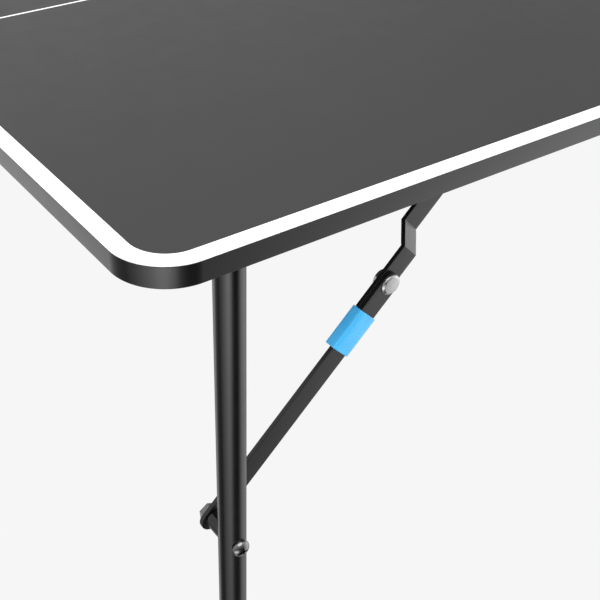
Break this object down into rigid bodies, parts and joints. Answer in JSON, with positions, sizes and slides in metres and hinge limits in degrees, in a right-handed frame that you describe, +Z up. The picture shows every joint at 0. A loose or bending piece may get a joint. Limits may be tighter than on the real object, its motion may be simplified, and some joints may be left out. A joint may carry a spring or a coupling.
{
  "type": "ping pong table",
  "caption": "Ping pong table with a charcoal two-half top edged in white, a thin centre line, a net, and folding tube legs held by braces with sliding lock sleeves.",
  "frame": {"origin": "on the floor, under the middle of the playing surface", "axes": "+X along the table from end a to end b, +Y across it from the front side to the rear, +Z up"},
  "size_m": [1.83, 1.102, 0.9165],
  "materials": {
    "playing_surface": "satin charcoal coating on a pressed wood board",
    "edge_band": "satin black",
    "line_white": "matt white line",
    "tube_black": "satin black powder coat",
    "brace_steel": "satin black powder coat",
    "bracket_steel": "satin black powder coat",
    "hinge_steel": "satin black powder coat",
    "zinc_steel": "zinc plated",
    "dark_chrome": "polished dark plating",
    "sleeve_blue": "satin light blue moulded plastic",
    "foot_rubber": "matt black",
    "net_post_black": "satin black",
    "net_mesh": "knotted mesh",
    "net_tape_white": "woven tape"
  },
  "bodies": {
    "half_a": {"board_a": "playing_surface", "edge_band_a": "edge_band", "line_marking_a": "line_white", "hinge_clevis_front": "hinge_steel", "hinge_clevis_rear": "hinge_steel", "hinge_pin_front": "zinc_steel", "hinge_pin_rear": "zinc_steel", "saddle_a_front": "bracket_steel", "saddle_a_rear": "bracket_steel", "brace_bracket_a_front": "bracket_steel", "brace_bracket_a_rear": "bracket_steel", "net_post_front": "net_post_black", "net_post_rear": "net_post_black", "net": "net_mesh", "net_tape": "net_tape_white"},
    "half_b": {"board_b": "playing_surface", "edge_band_b": "edge_band", "line_marking_b": "line_white", "hinge_tongue_front": "hinge_steel", "hinge_tongue_rear": "hinge_steel", "saddle_b_front": "bracket_steel", "saddle_b_rear": "bracket_steel", "brace_bracket_b_front": "bracket_steel", "brace_bracket_b_rear": "bracket_steel"},
    "leg_frame_a": {"pivot_tube_a": "tube_black", "leg_a_front": "tube_black", "foot_a_front": "foot_rubber", "brace_bolt_a_front": "dark_chrome", "bolt_spacer_a_front": "tube_black", "leg_a_rear": "tube_black", "foot_a_rear": "foot_rubber", "brace_bolt_a_rear": "dark_chrome", "bolt_spacer_a_rear": "tube_black"},
    "upper_brace_a_front": {"upper_bar_a_front": "brace_steel"},
    "lower_brace_a_front": {"lower_bar_a_front": "brace_steel", "knee_rivet_a_front": "zinc_steel"},
    "sleeve_a_front": {"lock_sleeve_a_front": "sleeve_blue"},
    "upper_brace_a_rear": {"upper_bar_a_rear": "brace_steel"},
    "lower_brace_a_rear": {"lower_bar_a_rear": "brace_steel", "knee_rivet_a_rear": "zinc_steel"},
    "sleeve_a_rear": {"lock_sleeve_a_rear": "sleeve_blue"},
    "leg_frame_b": {"pivot_tube_b": "tube_black", "leg_b_front": "tube_black", "foot_b_front": "foot_rubber", "brace_bolt_b_front": "dark_chrome", "bolt_spacer_b_front": "tube_black", "leg_b_rear": "tube_black", "foot_b_rear": "foot_rubber", "brace_bolt_b_rear": "dark_chrome", "bolt_spacer_b_rear": "tube_black"},
    "upper_brace_b_front": {"upper_bar_b_front": "brace_steel"},
    "lower_brace_b_front": {"lower_bar_b_front": "brace_steel", "knee_rivet_b_front": "zinc_steel"},
    "sleeve_b_front": {"lock_sleeve_b_front": "sleeve_blue"},
    "upper_brace_b_rear": {"upper_bar_b_rear": "brace_steel"},
    "lower_brace_b_rear": {"lower_bar_b_rear": "brace_steel", "knee_rivet_b_rear": "zinc_steel"},
    "sleeve_b_rear": {"lock_sleeve_b_rear": "sleeve_blue"}
  },
  "joints": [
    {"name": "mid_fold", "type": "hinge", "parent": "half_a", "child": "half_b", "pos_m": [0, 0, 0.7134], "axis": [0, 1, 0], "range_deg": [0, 85]},
    {"name": "leg_fold_a", "type": "hinge", "parent": "half_a", "child": "leg_frame_a", "pos_m": [-0.8301, 0, 0.724], "axis": [0, -1, 0], "range_deg": [0, 90]},
    {"name": "brace_swing_a_front", "type": "hinge", "parent": "half_a", "child": "upper_brace_a_front", "pos_m": [-0.48004, -0.4127, 0.724], "axis": [0, -1, 0], "range_deg": [0, 147.75]},
    {"name": "knee_a_front", "type": "hinge", "parent": "upper_brace_a_front", "child": "lower_brace_a_front", "pos_m": [-0.64367, -0.43215, 0.62066], "axis": [0, -1, 0], "range_deg": [-191.85, 0]},
    {"name": "sleeve_slide_a_front", "type": "slide", "parent": "lower_brace_a_front", "child": "sleeve_a_front", "axis": [-0.7181, 0, -0.6959], "range_m": [0, 0.1734]},
    {"name": "brace_swing_a_rear", "type": "hinge", "parent": "half_a", "child": "upper_brace_a_rear", "pos_m": [-0.48004, 0.4127, 0.724], "axis": [0, -1, 0], "range_deg": [0, 147.75]},
    {"name": "knee_a_rear", "type": "hinge", "parent": "upper_brace_a_rear", "child": "lower_brace_a_rear", "pos_m": [-0.64367, 0.43215, 0.62066], "axis": [0, -1, 0], "range_deg": [-191.85, 0]},
    {"name": "sleeve_slide_a_rear", "type": "slide", "parent": "lower_brace_a_rear", "child": "sleeve_a_rear", "axis": [-0.7181, 0, -0.6959], "range_m": [0, 0.1734]},
    {"name": "leg_fold_b", "type": "hinge", "parent": "half_b", "child": "leg_frame_b", "pos_m": [0.8301, 0, 0.724], "axis": [0, 1, 0], "range_deg": [0, 90]},
    {"name": "brace_swing_b_front", "type": "hinge", "parent": "half_b", "child": "upper_brace_b_front", "pos_m": [0.48004, -0.4127, 0.724], "axis": [0, 1, 0], "range_deg": [0, 147.75]},
    {"name": "knee_b_front", "type": "hinge", "parent": "upper_brace_b_front", "child": "lower_brace_b_front", "pos_m": [0.64367, -0.43215, 0.62066], "axis": [0, 1, 0], "range_deg": [-191.85, 0]},
    {"name": "sleeve_slide_b_front", "type": "slide", "parent": "lower_brace_b_front", "child": "sleeve_b_front", "axis": [0.7181, 0, -0.6959], "range_m": [0, 0.1734]},
    {"name": "brace_swing_b_rear", "type": "hinge", "parent": "half_b", "child": "upper_brace_b_rear", "pos_m": [0.48004, 0.4127, 0.724], "axis": [0, 1, 0], "range_deg": [0, 147.75]},
    {"name": "knee_b_rear", "type": "hinge", "parent": "upper_brace_b_rear", "child": "lower_brace_b_rear", "pos_m": [0.64367, 0.43215, 0.62066], "axis": [0, 1, 0], "range_deg": [-191.85, 0]},
    {"name": "sleeve_slide_b_rear", "type": "slide", "parent": "lower_brace_b_rear", "child": "sleeve_b_rear", "axis": [0.7181, 0, -0.6959], "range_m": [0, 0.1734]}
  ],
  "couplings": [
    {"joint": "brace_swing_a_front", "follows": "leg_fold_a", "ratio": 1.6414},
    {"joint": "knee_a_front", "follows": "leg_fold_a", "ratio": -2.1314},
    {"joint": "sleeve_slide_a_front", "follows": "leg_fold_a", "m_per_rad": 0.11039},
    {"joint": "brace_swing_a_rear", "follows": "leg_fold_a", "ratio": 1.6414},
    {"joint": "knee_a_rear", "follows": "leg_fold_a", "ratio": -2.1314},
    {"joint": "sleeve_slide_a_rear", "follows": "leg_fold_a", "m_per_rad": 0.11039},
    {"joint": "brace_swing_b_front", "follows": "leg_fold_b", "ratio": 1.6414},
    {"joint": "knee_b_front", "follows": "leg_fold_b", "ratio": -2.1314},
    {"joint": "sleeve_slide_b_front", "follows": "leg_fold_b", "m_per_rad": 0.11039},
    {"joint": "brace_swing_b_rear", "follows": "leg_fold_b", "ratio": 1.6414},
    {"joint": "knee_b_rear", "follows": "leg_fold_b", "ratio": -2.1314},
    {"joint": "sleeve_slide_b_rear", "follows": "leg_fold_b", "m_per_rad": 0.11039}
  ]
}
